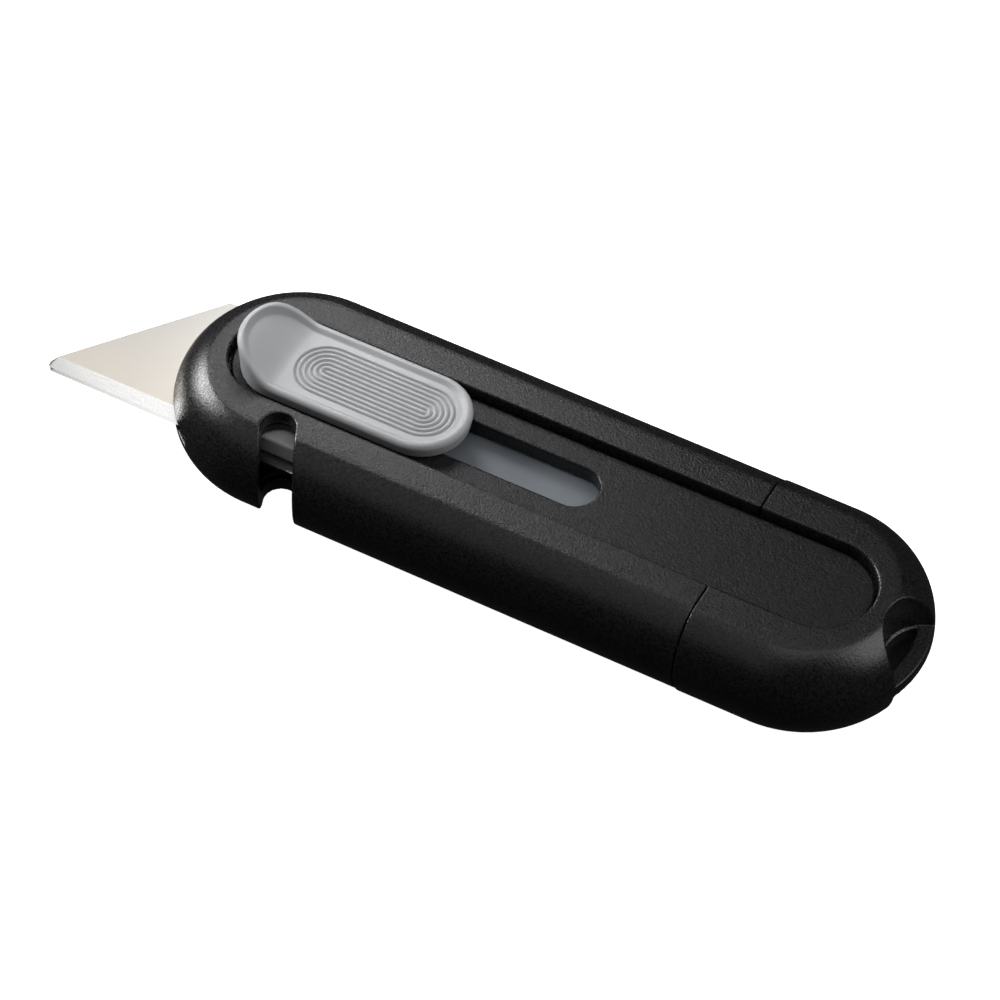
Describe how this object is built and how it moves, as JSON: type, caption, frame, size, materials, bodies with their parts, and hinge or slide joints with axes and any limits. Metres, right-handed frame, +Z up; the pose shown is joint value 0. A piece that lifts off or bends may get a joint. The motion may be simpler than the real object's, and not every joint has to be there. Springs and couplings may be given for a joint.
{
  "type": "utility knife",
  "caption": "Pocket utility knife: rounded handle, thumb slider that pushes a trapezoid blade out of the nose, string-cutting notch, and a pull-off rear cap with a lanyard eye.",
  "frame": {"origin": "centre of the handle's flat underside", "axes": "+X towards the rear cap, blade out at -X, +Z up through the thumb slider"},
  "size_m": [0.1072, 0.0292, 0.0174],
  "materials": {
    "shell": "fine spark-eroded texture, near black",
    "panel": "fine texture, dark grey",
    "carrier": "smooth slate grey",
    "slider": "smooth light grey",
    "blade_steel": "bright ground steel",
    "spring_steel": "rolled",
    "screw_steel": "turned",
    "magnet": "nickel plated"
  },
  "bodies": {
    "handle": {"front_sleeve": "shell", "upper_track": "panel", "lower_tray": "panel", "sleeve_screw_1": "screw_steel", "sleeve_screw_2": "screw_steel", "sleeve_screw_3": "screw_steel", "sleeve_screw_4": "screw_steel", "chassis_screw_1": "screw_steel", "chassis_screw_2": "screw_steel"},
    "carriage": {"blade": "blade_steel", "blade_carrier": "carrier", "carrier_jaw": "carrier", "blade_magnet": "magnet", "locating_pin_1": "spring_steel", "locating_pin_2": "spring_steel", "carrier_screw_1": "screw_steel", "carrier_screw_2": "screw_steel", "slider_screw_1": "screw_steel", "slider_screw_2": "screw_steel", "detent_spring": "spring_steel", "spring_rivet_1": "spring_steel", "spring_rivet_2": "spring_steel", "thumb_slider": "slider"},
    "cap": {"rear_cap": "shell"}
  },
  "joints": [
    {"name": "blade_slide", "type": "slide", "parent": "handle", "child": "carriage", "axis": [1, 0, 0], "range_m": [0, 0.0206]},
    {"name": "cap_pull", "type": "slide", "parent": "handle", "child": "cap", "axis": [1, 0, 0], "range_m": [0, 0.018]}
  ]
}
